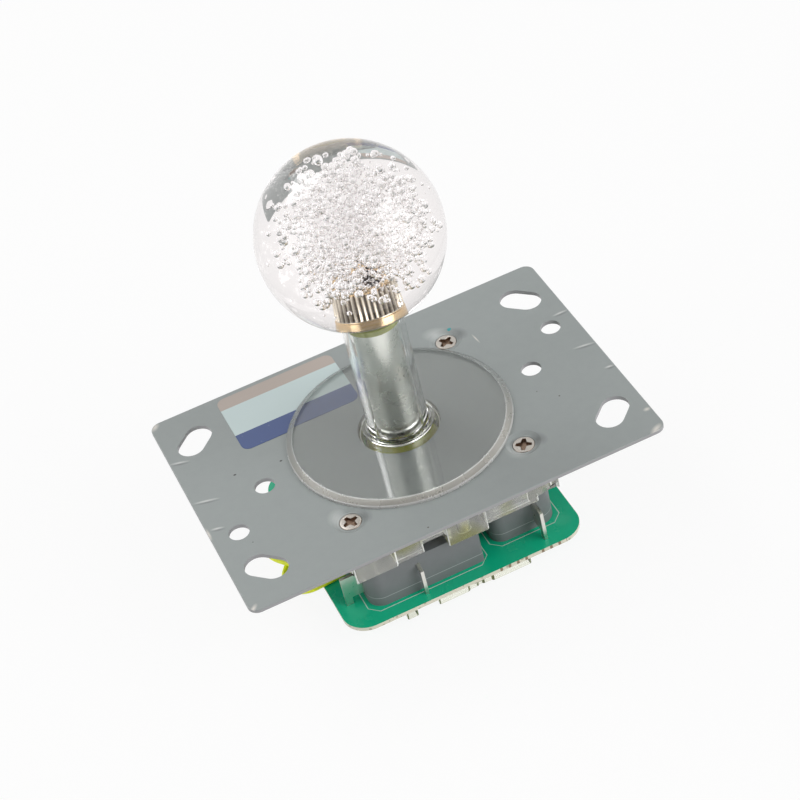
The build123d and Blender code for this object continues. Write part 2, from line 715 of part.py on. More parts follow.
tab_x = screw_x - gate_tab_x
tab_end_y = -gate_arm_half - gate_tab_reach
tab_root_y = gate_wall + gate_chamfer - 2 * gate_half - tab_x
with BuildPart() as restrictor_gate:
    with BuildSketch(Plane.XY.offset(gate_foot_z)) as gate_outline:
        Rectangle(2 * gate_half, 2 * gate_half)
        chamfer(gate_outline.vertices(), gate_chamfer)
        with PolarLocations(0, 4):
            with Locations((screw_x + gate_arm_shift, -gate_arm_half)):
                Rectangle(gate_arm_width, gate_arm_half - gate_half + gate_arm_root,
                          align=(Align.CENTER, Align.MIN))
    extrude(amount=gate_height)
    with BuildSketch(Plane.XY.offset(gate_foot_z + gate_floor)):
        offset(gate_outline.sketch, -gate_wall)
    extrude(amount=gate_height, mode=Mode.SUBTRACT)
    with BuildSketch(Plane.XY.offset(gate_foot_z)):
        Rectangle(2 * (gate_opening + gate_collar_wall), 2 * (gate_opening + gate_collar_wall))
        with PolarLocations(0, 4):
            with Locations((screw_x, screw_y)):
                Circle(board_screw_head_radius + gate_boss_wall)
    extrude(amount=gate_height)
    with BuildSketch(Plane.XY.offset(gate_foot_z + gate_tab_rise)):
        with PolarLocations(0, 4):
            with Locations((tab_x, tab_end_y)):
                Rectangle(gate_tab_width, tab_root_y - tab_end_y, align=(Align.CENTER, Align.MIN))
    extrude(amount=gate_height - gate_tab_rise)
    with BuildSketch(Plane.XY.offset(gate_foot_z)):
        Rectangle(2 * gate_opening, 2 * gate_opening)
        with PolarLocations(0, 4):
            with Locations((screw_x, screw_y)):
                Circle(board_screw_radius + running_gap)
            with Locations((screw_x, -gate_arm_half)):
                Rectangle(gate_notch, gate_wall)
                Rectangle(gate_recess_width, 2 * gate_recess_depth)
    extrude(amount=gate_height, mode=Mode.SUBTRACT)
    with BuildSketch(Plane.XY.offset(gate_foot_z)):
        with PolarLocations(0, 4):
            with Locations((screw_x, screw_y)):
                Circle(board_screw_head_radius + 2 * running_gap)
    extrude(amount=board_screw_inset + board_screw_head, mode=Mode.SUBTRACT)
save(restrictor_gate.part, "restrictor_gate")

# Board screws: four pan-head screws through gate, board and switches into the housing's blocks

with BuildPart() as board_screws:
    with BuildSketch(Plane.XY.offset(gate_foot_z + board_screw_inset)):
        with PolarLocations(0, 4):
            with Locations((screw_x, screw_y)):
                Circle(board_screw_head_radius)
    extrude(amount=board_screw_head)
    with BuildSketch(Plane.XY.offset(gate_foot_z + board_screw_inset + board_screw_head)):
        with PolarLocations(0, 4):
            with Locations((screw_x, screw_y)):
                Circle(board_screw_radius)
    extrude(amount=board_screw_length)
    with BuildSketch(Plane.XY.offset(gate_foot_z + board_screw_inset)):
        with PolarLocations(0, 4):
            with Locations((screw_x, screw_y)):
                Rectangle(cross_recess_span, cross_recess_width)
                Rectangle(cross_recess_width, cross_recess_span)
    extrude(amount=cross_recess_depth, mode=Mode.SUBTRACT)
save(Compound(board_screws.part.solids()), "board_screws")

# Yellow leads: two short insulated wires that loop out past the board's left edge, one over the
# other where they cross, soldered at each end to the board

lead_z = board_top_z + lead_radius + seat_gap
lead_routes = {
    "lead_front": [(-24.0, -11.2, lead_z), (-26.8, -11.5, lead_z), (-29.7, -11.8, lead_z),
                   (-32.5, -11.55, lead_z - 0.4), (-35.1, -10.1, lead_z - 0.7), (-36.6, -7.6, lead_z - 0.9),
                   (-36.6, -4.6, lead_z - 1.0), (-35.3, -1.7, lead_z - 1.0), (-33.2, 0.4, lead_z - 0.7),
                   (-31.0, 2.1, lead_z - 0.15), (-28.6, 3.5, lead_z), (-27.3, 5.9, lead_z)],
    "lead_rear": [(-23.3, -7.4, lead_z), (-25.9, -7.2, lead_z), (-28.7, -6.4, lead_z),
                  (-31.0, -4.9, lead_z + 0.1), (-32.9, -2.8, lead_z + 0.5), (-34.7, -0.7, lead_z + 0.6),
                  (-36.3, 1.9, lead_z + 0.4), (-37.0, 5.0, lead_z), (-36.6, 7.9, lead_z - 0.1),
                  (-35.0, 10.3, lead_z - 0.1), (-32.6, 11.8, lead_z), (-29.8, 12.4, lead_z),
                  (-27.0, 12.2, lead_z)],
}
arc_share = 0.45


def bend_radii(route):
    points = [Vector(*point) for point in route]
    radii = []
    for before, corner, after in zip(points, points[1:], points[2:]):
        turn = radians((corner - before).get_angle(after - corner))
        shorter = min((corner - before).length, (after - corner).length)
        radii.append(arc_share * shorter / tan(turn / 2))
    return radii


for name, route in lead_routes.items():
    radii = bend_radii(route)
    with BuildPart() as lead:
        with BuildLine() as lead_path:
            FilletPolyline(*route, radius=radii)
        with BuildSketch(Plane(origin=lead_path.line @ 0, z_dir=lead_path.line % 0)):
            Circle(lead_radius)
        sweep(path=lead_path.line)
    path_length = lead_path.wire().length
    print(name, "length", round(path_length, 1), "least radius", round(min(radii), 2),
          "volume ratio", round(lead.part.volume / (pi * lead_radius**2 * path_length), 4))
    save(lead.part, name)

solder_radius = 0.65
solder_reach = solder_radius + seat_gap
with BuildPart() as lead_joints:
    for route in lead_routes.values():
        for end, neighbour in ((route[0], route[1]), (route[-1], route[-2])):
            outward = (Vector(*end) - Vector(*neighbour)).normalized()
            with Locations((end[0] + solder_reach * outward.X, end[1] + solder_reach * outward.Y,
                            board_top_z)):
                Cone(solder_radius, 0.6 * solder_radius, 2 * lead_radius,
                     align=(Align.CENTER, Align.CENTER, Align.MIN))
save(Compound(lead_joints.part.solids()), "lead_joints")
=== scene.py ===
import random
from math import atan2, cos, pi, radians, sin

import bmesh
import bpy
from mathutils import Matrix, Quaternion, Vector


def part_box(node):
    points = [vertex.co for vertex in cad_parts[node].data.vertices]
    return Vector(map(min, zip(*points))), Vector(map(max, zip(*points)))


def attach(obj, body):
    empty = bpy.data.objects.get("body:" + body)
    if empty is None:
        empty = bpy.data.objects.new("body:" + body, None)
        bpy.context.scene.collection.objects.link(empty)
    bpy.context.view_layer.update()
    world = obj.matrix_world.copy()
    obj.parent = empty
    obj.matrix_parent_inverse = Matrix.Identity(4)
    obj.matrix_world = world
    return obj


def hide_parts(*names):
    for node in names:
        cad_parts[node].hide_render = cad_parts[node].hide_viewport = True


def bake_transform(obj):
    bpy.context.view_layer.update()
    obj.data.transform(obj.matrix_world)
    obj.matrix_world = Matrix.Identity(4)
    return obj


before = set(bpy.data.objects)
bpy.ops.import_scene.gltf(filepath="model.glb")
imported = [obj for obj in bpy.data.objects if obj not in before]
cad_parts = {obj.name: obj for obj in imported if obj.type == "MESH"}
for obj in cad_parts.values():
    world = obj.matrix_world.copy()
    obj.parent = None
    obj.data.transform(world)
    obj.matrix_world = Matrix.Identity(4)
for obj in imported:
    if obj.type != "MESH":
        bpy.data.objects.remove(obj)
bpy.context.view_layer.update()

mm = 0.001

# Studio. A pale floor, a white background, three soft lamps and the camera, at the photograph's
# viewing angle. The floor keeps a faint shadow. Metal and clear plastic show the white too, with the
# darker half of the room on the camera's side.

floor_z = -30.0 * mm
floor_half = 1.6
floor_front = -0.35         # the floor ends here towards the camera, below what the picture shows
dark_side = Vector((-0.25, -0.75, 0.60)).normalized()


def add_node(tree, kind, sockets=None, **settings):
    node = tree.nodes.new(kind)
    for name, value in settings.items():
        setattr(node, name, value)
    for name, value in (sockets or {}).items():
        if isinstance(value, bpy.types.NodeSocket):
            tree.links.new(value, node.inputs[name])
        else:
            node.inputs[name].default_value = value
    return node


def maths(tree, operation, *values, clamp=False):
    return add_node(tree, "ShaderNodeMath", dict(enumerate(values)), operation=operation,
                    use_clamp=clamp).outputs[0]


def ranged(tree, value, low, high, at_low=0.0, at_high=1.0):
    return add_node(tree, "ShaderNodeMapRange", {"Value": value, "From Min": low, "From Max": high,
                                                 "To Min": at_low, "To Max": at_high}).outputs[0]


def seen_directly(tree):
    rays = add_node(tree, "ShaderNodeLightPath").outputs
    first = maths(tree, "MAXIMUM", rays["Is Camera Ray"], rays["Is Glossy Ray"])
    return maths(tree, "MAXIMUM", first, rays["Is Transmission Ray"])


floor_mesh = bmesh.new()
bmesh.ops.create_grid(floor_mesh, x_segments=1, y_segments=1, size=floor_half,
                      matrix=Matrix.Translation((0, floor_half + floor_front, floor_z)))
floor_data = bpy.data.meshes.new("floor")
floor_mesh.to_mesh(floor_data)
floor_mesh.free()
floor = bpy.data.objects.new("floor", floor_data)
bpy.context.scene.collection.objects.link(floor)
floor_paper = bpy.data.materials.new("floor paper")
floor_paper.use_nodes = True
paper = floor_paper.node_tree
paper.nodes.clear()
matt = add_node(paper, "ShaderNodeBsdfDiffuse", {"Color": (0.8, 0.8, 0.8, 1)})
glow = add_node(paper, "ShaderNodeEmission", {"Color": (1, 1, 1, 1), "Strength": 1.0})
faint = add_node(paper, "ShaderNodeMixShader", {0: 0.9, 1: matt.outputs[0], 2: glow.outputs[0]})
chosen = add_node(paper, "ShaderNodeMixShader", {0: seen_directly(paper), 1: matt.outputs[0],
                                                 2: faint.outputs[0]})
add_node(paper, "ShaderNodeOutputMaterial", {"Surface": chosen.outputs[0]})
floor_data.materials.append(floor_paper)

world = bpy.data.worlds.new("studio")
bpy.context.scene.world = world
world.use_nodes = True
room = world.node_tree
room.nodes.clear()
white = add_node(room, "ShaderNodeBackground", {"Color": (1, 1, 1, 1), "Strength": 1.0})
soft = add_node(room, "ShaderNodeBackground", {"Color": (1, 0.99, 0.98, 1), "Strength": 0.48})
heading = add_node(room, "ShaderNodeTexCoord").outputs["Generated"]
toward = add_node(room, "ShaderNodeVectorMath", {0: heading, 1: dark_side}, operation="DOT_PRODUCT")
fall = ranged(room, toward.outputs["Value"], 0.1, 0.8, 1.0, 0.36)
walls = add_node(room, "ShaderNodeBackground", {"Color": (1, 1, 1, 1), "Strength": fall})
mirrored = add_node(room, "ShaderNodeMixShader", {0: seen_directly(room), 1: soft.outputs[0],
                                                  2: walls.outputs[0]})
backdrop = add_node(room, "ShaderNodeMixShader", {
    0: add_node(room, "ShaderNodeLightPath").outputs["Is Camera Ray"], 1: mirrored.outputs[0],
    2: white.outputs[0]})
add_node(room, "ShaderNodeOutputWorld", {"Surface": backdrop.outputs[0]})


def soft_lamp(name, place, aim, width, height, power):
    lamp_data = bpy.data.lights.new(name, "AREA")
    lamp_data.shape = "RECTANGLE"
    lamp_data.size = width
    lamp_data.size_y = height
    lamp_data.energy = power
    lamp = bpy.data.objects.new(name, lamp_data)
    bpy.context.scene.collection.objects.link(lamp)
    lamp.location = place
    lamp.rotation_euler = (Vector(aim) - Vector(place)).to_track_quat("-Z", "Y").to_euler()


soft_lamp("lamp over the back", (-0.35, 0.55, 0.75), (0, 0, 0.01), 0.5, 0.5, 2.8)
soft_lamp("box on the right", (0.72, -0.70, 0.42), (0, 0, 0.0), 0.85, 0.95, 8.5)
soft_lamp("box on the left", (-0.96, -0.10, 0.42), (0, 0, 0.0), 0.60, 0.95, 3.0)

camera_place = Vector((-90.17, -370.04, 336.79)) * mm
camera_aim = Vector((0.9, -3.0, 10.0)) * mm
camera_roll = radians(-14.39)
camera_data = bpy.data.cameras.new("camera")
camera_data.sensor_width = 36.0
camera_data.lens = 100.93
camera = bpy.data.objects.new("camera", camera_data)
bpy.context.scene.collection.objects.link(camera)
camera.location = camera_place
camera.rotation_mode = "QUATERNION"
camera.rotation_quaternion = ((camera_aim - camera_place).to_track_quat("-Z", "Y")
                              @ Quaternion((0, 0, 1), camera_roll))
bpy.context.scene.camera = camera
bpy.context.scene.view_settings.view_transform = "Standard"

# Yellow leads. Two short wires in bright yellow insulation loop out past the board's left edge and
# are soldered to it at both ends. They cross once, the rear one over the front one.

lead_diameter = 1.4
lead_z = -24.2
lead_routes = {
    "lead_front": (31.7, [(-24.0, -11.2, lead_z), (-26.8, -11.5, lead_z), (-29.7, -11.8, lead_z),
                          (-32.5, -11.55, lead_z - 0.4), (-35.1, -10.1, lead_z - 0.7),
                          (-36.6, -7.6, lead_z - 0.9), (-36.6, -4.6, lead_z - 1.0),
                          (-35.3, -1.7, lead_z - 1.0), (-33.2, 0.4, lead_z - 0.7),
                          (-31.0, 2.1, lead_z - 0.15), (-28.6, 3.5, lead_z), (-27.3, 5.9, lead_z)]),
    "lead_rear": (34.2, [(-23.3, -7.4, lead_z), (-25.9, -7.2, lead_z), (-28.7, -6.4, lead_z),
                         (-31.0, -4.9, lead_z + 0.1), (-32.9, -2.8, lead_z + 0.5),
                         (-34.7, -0.7, lead_z + 0.6), (-36.3, 1.9, lead_z + 0.4),
                         (-37.0, 5.0, lead_z), (-36.6, 7.9, lead_z - 0.1), (-35.0, 10.3, lead_z - 0.1),
                         (-32.6, 11.8, lead_z), (-29.8, 12.4, lead_z), (-27.0, 12.2, lead_z)]),
}
lead_yellow = (0.86, 0.93, 0.03, 1)


def finish(name, colour, roughness, sockets=None):
    material = bpy.data.materials.new(name)
    material.use_nodes = True
    surface = material.node_tree.nodes["Principled BSDF"]
    surface.inputs["Base Color"].default_value = colour
    surface.inputs["Roughness"].default_value = roughness
    for socket, value in (sockets or {}).items():
        surface.inputs[socket].default_value = value
    return material, material.node_tree, surface


def effect(name, inputs, outputs):
    group = bpy.data.node_groups.new(name, "ShaderNodeTree")
    for label, kind, value in inputs:
        group.interface.new_socket(label, in_out="INPUT", socket_type=kind).default_value = value
    for label, kind in outputs:
        group.interface.new_socket(label, in_out="OUTPUT", socket_type=kind)
    return group, group.nodes.new("NodeGroupInput").outputs, group.nodes.new("NodeGroupOutput").inputs


def object_place(tree):
    return add_node(tree, "ShaderNodeTexCoord").outputs["Object"]


number = "NodeSocketFloat"
hue = "NodeSocketColor"

# A shared effect: the fine mottle of moulded plastic or paint, as a colour, a roughness and a height
mottle, mottle_in, mottle_out = effect(
    "mottle", [("Colour", hue, (0.5, 0.5, 0.5, 1)), ("Second Colour", hue, (0.5, 0.5, 0.5, 1)),
               ("Per Metre", number, 400.0), ("Least Roughness", number, 0.3),
               ("Most Roughness", number, 0.4)],
    [("Colour", hue), ("Roughness", number), ("Height", number)])
cloud = add_node(mottle, "ShaderNodeTexNoise", {"Vector": object_place(mottle), "Detail": 4.0,
                                                "Scale": mottle_in["Per Metre"], "Roughness": 0.6})
shade = add_node(mottle, "ShaderNodeMix", {0: cloud.outputs["Fac"], 6: mottle_in["Colour"],
                                           7: mottle_in["Second Colour"]}, data_type="RGBA")
rough = ranged(mottle, cloud.outputs["Fac"], 0.3, 0.7, mottle_in["Least Roughness"],
               mottle_in["Most Roughness"])
mottle.links.new(shade.outputs[2], mottle_out["Colour"])
mottle.links.new(rough, mottle_out["Roughness"])
mottle.links.new(cloud.outputs["Fac"], mottle_out["Height"])


def raised(tree, surface, height, strength, depth):
    relief = add_node(tree, "ShaderNodeBump", {"Strength": strength, "Distance": depth * mm,
                                               "Height": height})
    tree.links.new(relief.outputs[0], surface.inputs["Normal"])


def mottled(tree, surface, colour, second, per_metre, roughness, bump=0.0):
    texture = add_node(tree, "ShaderNodeGroup", {
        "Colour": colour, "Second Colour": second, "Per Metre": per_metre,
        "Least Roughness": roughness[0], "Most Roughness": roughness[1]}, node_tree=mottle)
    tree.links.new(texture.outputs["Colour"], surface.inputs["Base Color"])
    tree.links.new(texture.outputs["Roughness"], surface.inputs["Roughness"])
    if bump:
        raised(tree, surface, texture.outputs["Height"], bump, 0.05)
    return texture


def dress(material, *nodes):
    for name in nodes:
        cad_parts[name].material_slots[0].material = material


lead_skin, tree, surface = finish("yellow insulation", lead_yellow, 0.4,
                                  {"Subsurface Weight": 0.2, "Subsurface Scale": 0.4 * mm})
surface.inputs["Subsurface Radius"].default_value = (1.0, 1.0, 0.3)
mottled(tree, surface, lead_yellow, (0.80, 0.90, 0.02, 1), 500.0, (0.35, 0.45))
for name, (length, route) in lead_routes.items():
    lead_curve = bpy.data.curves.new(name + "_wire", "CURVE")
    lead_curve.dimensions = "3D"
    spline = lead_curve.splines.new("NURBS")
    spline.points.add(len(route) - 1)
    for point, corner in zip(spline.points, route):
        point.co = (*(Vector(corner) * mm), 1)
    spline.order_u = 3
    spline.use_endpoint_u = True
    lead_curve.resolution_u = 12
    lead_curve.bevel_depth = lead_diameter / 2 * mm
    lead_curve.bevel_resolution = 6
    lead_curve.use_fill_caps = True
    lead_curve.materials.append(lead_skin)
    lead = bpy.data.objects.new(name + "_wire", lead_curve)
    bpy.context.scene.collection.objects.link(lead)
    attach(lead, "base")
    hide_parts(name)

# Solder joints of the leads. Small cones of bright tin solder, one where each end of a wire is let
# into the board. They are a little dull and uneven where the solder cooled.

solder, tree, surface = finish("solder", (0.72, 0.72, 0.70, 1), 0.25, {"Metallic": 1.0})
mottled(tree, surface, (0.75, 0.75, 0.73, 1), (0.55, 0.55, 0.53, 1), 900.0, (0.18, 0.4), 0.3)
dress(solder, "lead_joints")

# Mounting plate. Sheet steel, blanked, with dimples pressed for its screws, in semi-gloss grey
# paint. It has fine dust, a few specks, pale rubbed corners and short sharp creases at its ends.
# Each crease carries a painted highlight and a painted shade line, and three screw dimples carry
# painted light and painted shade crescents.

plate_grey = (0.295, 0.322, 0.318, 1)
plate_grey_two = (0.270, 0.296, 0.293, 1)
creases = ((-47.8, 18.8, 2.6, -18.0), (-46.7, 3.2, 3.4, -16.0), (-47.5, -6.6, 1.8, -16.0),
           (47.8, 13.8, 2.2, 0.0), (47.2, 0.0, 3.0, -10.0), (48.6, -9.9, 1.3, -8.0))

specks, specks_in, specks_out = effect(
    "specks", [("Per Metre", number, 200.0), ("Size", number, 0.05), ("Share", number, 0.1)],
    [("Mask", number)])
cells = add_node(specks, "ShaderNodeTexVoronoi", {"Vector": object_place(specks),
                                                  "Scale": specks_in["Per Metre"]})
near = maths(specks, "LESS_THAN", cells.outputs["Distance"], specks_in["Size"])
lot = add_node(specks, "ShaderNodeSeparateColor", {"Color": cells.outputs["Color"]})
kept = maths(specks, "LESS_THAN", lot.outputs[0], specks_in["Share"])
specks.links.new(maths(specks, "MULTIPLY", near, kept), specks_out["Mask"])


def specked(tree, per_metre, size, share):
    return add_node(tree, "ShaderNodeGroup", {"Per Metre": per_metre, "Size": size, "Share": share},
                    node_tree=specks).outputs["Mask"]


def tinted(tree, mask, colour, second):
    return add_node(tree, "ShaderNodeMix", {0: mask, 6: colour, 7: second}, data_type="RGBA").outputs[2]


def laid_over(tree, base, mask, strength, colour):
    return tinted(tree, maths(tree, "MULTIPLY", mask, strength, clamp=True), base, colour)


def summed(tree, masks):
    total = masks[0]
    for mask in masks[1:]:
        total = maths(tree, "ADD", total, mask)
    return total


def smudges(tree, marks):
    spots = []
    for x, y, length, width, turn in marks:
        place = add_node(tree, "ShaderNodeMapping", {
            "Vector": object_place(tree), "Location": (x * mm, y * mm, 0),
            "Rotation": (0, 0, radians(turn)), "Scale": (length * mm, width * mm, 4 * mm)},
            vector_type="TEXTURE")
        spots.append(add_node(tree, "ShaderNodeTexGradient", {"Vector": place.outputs[0]},
                              gradient_type="SPHERICAL").outputs["Fac"])
    return summed(tree, spots)


def axes_of(tree, vector):
    return add_node(tree, "ShaderNodeSeparateXYZ", {0: vector}).outputs


plate_paint, tree, surface = finish("plate paint", plate_grey, 0.35)
paint = mottled(tree, surface, plate_grey, plate_grey_two, 350.0, (0.34, 0.42))
# Each crease: a painted highlight along its ridge, which also raises the bump, and a painted shade line just
# beside it
crease_ridges_and_highlights = smudges(tree, [(x, y, length, 0.45, turn) for x, y, length, turn in creases])
crease_painted_shade = smudges(tree, [(x + 0.1, y - 0.55, length, 0.5, turn) for x, y, length, turn in creases])
rubbed = smudges(tree, ((47.6, -34.3, 2.2, 1.0, 30.0), (48.9, -27.5, 1.0, 0.7, 0.0),
                        (-48.8, 33.8, 1.8, 1.0, 45.0), (-49.8, -7.3, 2.4, 0.5, 90.0),
                        (27.4, 17.4, 2.2, 0.25, 95.0), (-49.0, -33.9, 1.6, 0.7, 45.0)))
fleck = smudges(tree, [(23.6, 24.4, 0.7, 0.55, 0)])
dark_specks = smudges(tree, ((-38.1, 7.4, 0.5, 0.35, 0), (-27.4, 5.5, 0.45, 0.35, 0)))
# Painted light on one side of three screw dimples, and painted shade on their other side
dimple_painted_light = smudges(tree, ((20.0, 24.6, 2.6, 3.4, 60.0), (19.0, -22.6, 2.6, 3.4, 20.0),
                              (-23.2, -19.4, 2.6, 3.4, 0.0)))
dimple_painted_shade = smudges(tree, ((24.9, 21.6, 1.9, 2.8, 20.0), (24.6, -21.8, 1.9, 2.8, 20.0),
                             (-18.0, -21.6, 1.9, 2.8, 10.0)))
upward = axes_of(tree, add_node(tree, "ShaderNodeNewGeometry").outputs["Normal"])["Z"]
look = tinted(tree, specked(tree, 260.0, 0.055, 0.10), paint.outputs["Colour"], (0.10, 0.10, 0.09, 1))
look = laid_over(tree, look, crease_ridges_and_highlights, 0.9, (0.66, 0.67, 0.66, 1))
look = laid_over(tree, look, crease_painted_shade, 0.7, (0.15, 0.16, 0.16, 1))
look = laid_over(tree, look, rubbed, 1.2, (0.62, 0.60, 0.56, 1))
look = tinted(tree, maths(tree, "GREATER_THAN", fleck, 0.3), look, (0.05, 0.30, 0.32, 1))
look = tinted(tree, maths(tree, "GREATER_THAN", dark_specks, 0.3), look, (0.05, 0.05, 0.05, 1))
look = laid_over(tree, look, dimple_painted_light, 0.55, (0.62, 0.64, 0.63, 1))
look = laid_over(tree, look, dimple_painted_shade, 0.75, (0.11, 0.12, 0.12, 1))
cut_steel = tinted(tree, maths(tree, "COMPARE", upward, 0.0, 0.35), look, (0.30, 0.30, 0.31, 1))
tree.links.new(cut_steel, surface.inputs["Base Color"])
peel = add_node(tree, "ShaderNodeTexNoise", {"Vector": object_place(tree), "Scale": 900.0, "Detail": 2.0})
height = summed(tree, [peel.outputs["Fac"], maths(tree, "MULTIPLY", crease_ridges_and_highlights, 3.0)])
raised(tree, surface, height, 0.2, 0.05)
dress(plate_paint, "mounting_plate")

# Label. A thin printed film stuck to the plate's back left corner, with the dust washer over one
# edge. Its fields are plain colours: a beige band, a pale blue field and a navy band.

label_low, label_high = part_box("label")
navy_share, beige_share = 0.30, 0.80
label_navy, label_blue, label_beige = (0.045, 0.08, 0.22, 1), (0.52, 0.62, 0.62, 1), (0.42, 0.36, 0.32, 1)

label_film, tree, surface = finish("label film", (0.6, 0.62, 0.6, 1), 0.3, {"Coat Weight": 0.3})
share = ranged(tree, axes_of(tree, object_place(tree))["Y"], label_low.y, label_high.y)
ink = tinted(tree, maths(tree, "GREATER_THAN", share, navy_share), label_navy, label_blue)
ink = tinted(tree, maths(tree, "GREATER_THAN", share, beige_share), ink, label_beige)
dots = tinted(tree, specked(tree, 900.0, 0.18, 0.25), ink, (0.5, 0.55, 0.55, 1))
tree.links.new(tinted(tree, 0.9, dots, ink), surface.inputs["Base Color"])
dress(label_film, "label")

# Housing and restrictor gate. Water-clear moulded plastic with polished faces. Their thick edges
# carry painted light: a pale painted highlight on the housing, and a dark olive painted shade on the
# gate under the board, with a painted shade line along the foot of its bars.

clear_tint = (0.98, 0.985, 0.96, 1)
gate_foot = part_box("restrictor_gate")[0].z
gate_rim = 0.32 * mm        # painted shade: a darker olive line along the foot of the clear bars


def clear_plastic(name, tint, roughness, index=1.49, passing=1.0):
    material, tree, surface = finish(name, tint, roughness[0],
                                     {"Transmission Weight": passing, "IOR": index})
    mottled(tree, surface, tint, tint, 160.0, roughness)
    return material


def reopened(material):
    return material.node_tree, material.node_tree.nodes["Principled BSDF"]


def new_piece(name, mesh, material, body, smooth_angle=None):
    data = bpy.data.meshes.new(name)
    mesh.to_mesh(data)
    mesh.free()
    data.materials.append(material)
    piece = bpy.data.objects.new(name, data)
    bpy.context.scene.collection.objects.link(piece)
    if smooth_angle is not None:
        data.shade_smooth()
        data.set_sharp_from_angle(angle=radians(smooth_angle))
    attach(piece, body)
    return piece


def with_moulded_edges(node, name, body, face_material, edge_material, edge_width):
    mesh = bmesh.new()
    mesh.from_mesh(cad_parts[node].data)
    bmesh.ops.remove_doubles(mesh, verts=mesh.verts, dist=1e-7)
    bmesh.ops.dissolve_limit(mesh, angle_limit=radians(1.0), verts=mesh.verts, edges=mesh.edges)
    for face in mesh.faces:
        face.material_index = 0
    piece = new_piece(name, mesh, face_material, body)
    piece.data.materials.append(edge_material)
    rounding = piece.modifiers.new("moulded edges", "BEVEL")
    rounding.width = edge_width * mm
    rounding.segments = 1
    rounding.limit_method = "ANGLE"
    rounding.angle_limit = radians(40.0)
    rounding.material = 1
    rounding.use_clamp_overlap = False
    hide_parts(node)


moulded = clear_plastic("moulded clear plastic", clear_tint, (0.03, 0.08), 1.25, 0.78)
tree, surface = reopened(moulded)
spot = object_place(tree)
flow = add_node(tree, "ShaderNodeTexNoise", {"Vector": spot, "Scale": 170.0, "Detail": 1.0})
raised(tree, surface, flow.outputs["Fac"], 0.4, 1.2)
stain = add_node(tree, "ShaderNodeTexNoise", {"Vector": spot, "Scale": 90.0, "Detail": 0.0})
olive_part = ranged(tree, stain.outputs["Fac"], 0.56, 0.66)
tree.links.new(tinted(tree, olive_part, clear_tint, (0.72, 0.73, 0.38, 1)), surface.inputs["Base Color"])
# Painted highlight: the housing's bevelled edges are an almost opaque pale colour
painted_edge_highlight = clear_plastic("painted highlight on moulded edges", (0.98, 0.98, 0.95, 1), (0.2, 0.3), 1.30, 0.10)
with_moulded_edges("housing", "housing_moulding", "base", moulded, painted_edge_highlight, 0.22)

gate_clear = clear_plastic("clear gate plastic", (0.92, 0.93, 0.82, 1), (0.02, 0.05), 1.20, 0.95)
tree, surface = reopened(gate_clear)
# Painted shade: a darker olive band along the foot of the gate's bars
foot = maths(tree, "LESS_THAN", axes_of(tree, object_place(tree))["Z"], gate_foot + gate_rim)
tree.links.new(tinted(tree, foot, (0.93, 0.94, 0.82, 1), (0.34, 0.36, 0.18, 1)),
               surface.inputs["Base Color"])
# Painted shade: the gate's bevelled edges are an almost opaque dark olive
painted_edge_shade = clear_plastic("painted olive shade on moulded edges", (0.20, 0.23, 0.09, 1), (0.2, 0.3), 1.30, 0.10)
with_moulded_edges("restrictor_gate", "gate_moulding", "base", gate_clear, painted_edge_shade,
                   0.28)

# Dust washer. A flat disc of clear plastic that lies loose on the plate and slides over it. Its
# bevelled edge is satin, with a painted highlight along each rim and painted shade towards the back.

washer_low, washer_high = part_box("dust_washer")
washer_outer, washer_foot, washer_top = washer_high.x / mm, washer_low.z / mm, washer_high.z / mm
washer_hole, washer_bevel, washer_edge = 7.7, 1.6, 0.5
bevel_foot, bevel_inner = washer_foot + washer_edge, washer_outer - washer_bevel
rim_inset, rim_half = 0.12, 0.13


def spun(profile, steps):
    mesh = bmesh.new()
    rim = [mesh.verts.new((r * mm, 0, z * mm)) for r, z in profile]
    edges = [mesh.edges.new(pair) for pair in zip(rim, rim[1:])]
    bmesh.ops.spin(mesh, geom=rim + edges, axis=(0, 0, 1), cent=(0, 0, 0), angle=2 * pi, steps=steps,
                   use_merge=True)
    bmesh.ops.remove_doubles(mesh, verts=mesh.verts, dist=1e-7)
    bmesh.ops.recalc_face_normals(mesh, faces=mesh.faces)
    return mesh


def from_axis(tree, place):
    level = add_node(tree, "ShaderNodeCombineXYZ", {0: place["X"], 1: place["Y"]})
    reach = add_node(tree, "ShaderNodeVectorMath", {0: level.outputs[0]}, operation="LENGTH")
    return reach.outputs["Value"]


washer_mesh = spun([(washer_hole, washer_foot), (washer_outer, washer_foot), (washer_outer, bevel_foot),
                    (washer_outer - 0.1, bevel_foot + 0.1), (bevel_inner, washer_top - 0.05),
                    (bevel_inner - 0.1, washer_top), (washer_hole, washer_top),
                    (washer_hole, washer_foot)], 180)
for face in washer_mesh.faces:
    middle = face.calc_center_median() / mm
    face.material_index = int(middle.xy.length > bevel_inner - 0.05 and middle.z > washer_foot + 0.1)
washer_clear = clear_plastic("washer clear plastic", (0.97, 0.975, 0.96, 1), (0.01, 0.02))
washer = new_piece("washer_disc", washer_mesh, washer_clear, "washer", 20)
satin_bevel = clear_plastic("satin bevel", (0.70, 0.68, 0.62, 1), (0.22, 0.32), 1.40, 0.60)
tree, surface = reopened(satin_bevel)
place = axes_of(tree, object_place(tree))
# Painted shade: the bevel is darkened to a grey towards the back
toward_back = maths(tree, "ADD", place["Y"], maths(tree, "MULTIPLY", place["X"], 0.25))
painted_back_shade = ranged(tree, toward_back, -10 * mm, 8 * mm)
streaks = add_node(tree, "ShaderNodeTexNoise", {"Vector": object_place(tree), "Scale": 110.0,
                                                "Detail": 1.0})
away = from_axis(tree, place)
